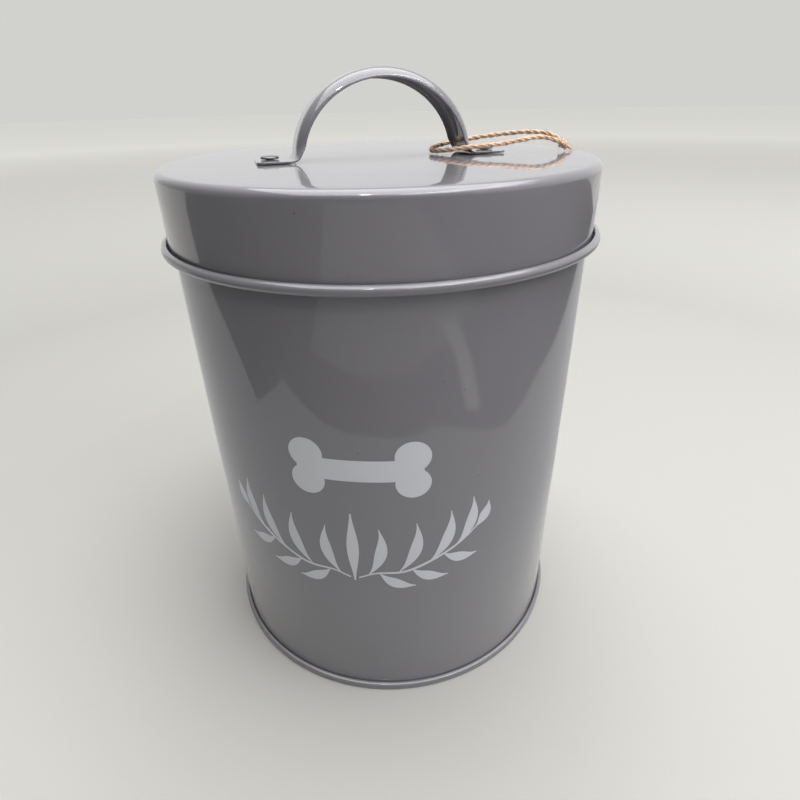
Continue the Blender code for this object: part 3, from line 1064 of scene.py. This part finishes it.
def distance_out(nodes, links):
    """How far a point is from the origin of its object, the middle of the canister's foot."""
    place = nodes.new("ShaderNodeTexCoord")
    length = nodes.new("ShaderNodeVectorMath")
    length.operation = "LENGTH"
    links.new(place.outputs["Object"], length.inputs[0])
    return length.outputs["Value"]


def make_floor():
    """A floor that turns paler and glows far out, where the lamps don't reach, to run into the backdrop."""
    maker = bmesh.new()
    bmesh.ops.create_circle(maker, cap_ends=True, segments=96, radius=FLOOR_RADIUS)
    mesh = bpy.data.meshes.new("floor")
    maker.to_mesh(mesh)
    maker.free()
    material, nodes, links = new_material("floor")
    shader = nodes["Principled BSDF"]
    plain_shader(shader, FLOOR_NEAR)
    distance = distance_out(nodes, links)
    # Painted light: far out, where the lamps don't reach, the floor is painted paler and glows
    far = ramp(nodes, links, distance, *FLOOR_CHANGES)
    links.new(mixed(nodes, links, far, FLOOR_NEAR, FLOOR_FAR), shader.inputs["Base Color"])
    shader.inputs["Emission Color"].default_value = FLOOR_FAR
    glow = ramp(nodes, links, distance, *FLOOR_CHANGES, 0.0, FLOOR_GLOW)
    links.new(glow, shader.inputs["Emission Strength"])
    mesh.materials.append(material)
    link("floor", mesh)


def make_card(name, corners, strength, fade_near=None):
    """A glowing card that shows only in reflections. fade_near gives the distances it fades in over."""
    mesh = bpy.data.meshes.new(name)
    mesh.from_pydata(corners, [], [tuple(range(len(corners)))])
    material, nodes, links = new_material(name)
    shader = nodes["Principled BSDF"]
    plain_shader(shader, CARD_GREY)
    shader.inputs["Emission Color"].default_value = WHITE
    shader.inputs["Emission Strength"].default_value = strength
    if fade_near is not None:
        shown = ramp(nodes, links, distance_out(nodes, links), *fade_near)
        links.new(shown, shader.inputs["Alpha"])
    mesh.materials.append(material)
    card = link(name, mesh)
    card.visible_camera = False
    card.visible_diffuse = False
    card.visible_shadow = False
    card.visible_transmission = False


def flat_card(name, outline, height, strength, fade_near=None):
    """A card that lies level at a height."""
    make_card(name, [(x, y, height) for x, y in outline], strength, fade_near)


def upright_card(name, y, high, strength):
    """A card that stands across the room, in front of the canister or behind it."""
    left, right = -UPRIGHT_HALF_WIDTH, UPRIGHT_HALF_WIDTH
    make_card(name, [(left, y, 0.0), (right, y, 0.0), (right, y, high), (left, y, high)], strength)


def make_cards():
    """What the gloss mirrors: cloth round the canister, a dark room past its edge, a pale one behind."""
    flat_card("dark_room_floor", DARK_ROOM, CARD_STEP, 0.015)
    flat_card("dim_front", DIM_FRONT, 2.0 * CARD_STEP, 0.30)
    flat_card("pale_streak", PALE_STREAK, 3.0 * CARD_STEP, 0.75)
    flat_card("cloth", CLOTH, 2.0 * CARD_STEP, 0.50, fade_near=CLOTH_FADE)
    upright_card("dark_room_front", -2.0, 2.0, 0.03)
    upright_card("pale_room_back", 2.0, 1.2, 0.75)
    flat_card("pale_ceiling", CEILING, CEILING_HEIGHT, 4.4)


def make_lamp(name, place, size, energy, mirrored):
    """An area light. One that isn't mirrored is a soft light without a highlight of its own."""
    data = bpy.data.lights.new(name, "AREA")
    data.shape = "RECTANGLE"
    data.size, data.size_y = size
    data.energy = energy
    light = link(name, data)
    light.location = place
    light.rotation_euler = (Vector(LAMP_AIM) - Vector(place)).to_track_quat("-Z", "Y").to_euler()
    light.visible_glossy = mirrored


def make_world():
    """A pale room all round, darker towards one side."""
    world = bpy.data.worlds.new("room")
    bpy.context.scene.world = world
    world.use_nodes = True
    nodes, links = world.node_tree.nodes, world.node_tree.links
    background = nodes["Background"]
    heading = nodes.new("ShaderNodeTexCoord")
    towards_dark = nodes.new("ShaderNodeVectorMath")
    towards_dark.operation = "DOT_PRODUCT"
    links.new(heading.outputs["Generated"], towards_dark.inputs[0])
    towards_dark.inputs[1].default_value = DARK_SIDE
    share = ramp(nodes, links, towards_dark.outputs["Value"], *DARK_SIDE_CHANGES)
    links.new(mixed(nodes, links, share, ROOM_PALE, ROOM_DARK), background.inputs["Color"])
    background.inputs["Strength"].default_value = 1.0


make_camera()
make_twine()
make_wall(paint_material("wall_paint", PAINT))
make_base(paint_material("base_paint", PAINT, SMALL_SHEET_WAVES))
make_lid(paint_material("lid_paint", PAINT, LID_SHEET_WAVES))
make_handle(paint_material("handle_paint", PAINT, SMALL_SHEET_WAVES))
rivet_steel = steel_material("rivet_steel")
make_rivet("rivet_head_left", "rivet_left", -1.0, rivet_steel)
make_rivet("rivet_head_right", "rivet_right", 1.0, rivet_steel)
ink = paint_material("print_ink", PRINT_GREY)
make_bone(ink)
make_ornament(ink)
make_floor()
make_cards()
make_world()
for lamp_name, lamp in LAMPS.items():
    make_lamp(lamp_name, *lamp)
bpy.context.scene.view_settings.view_transform = "Standard"
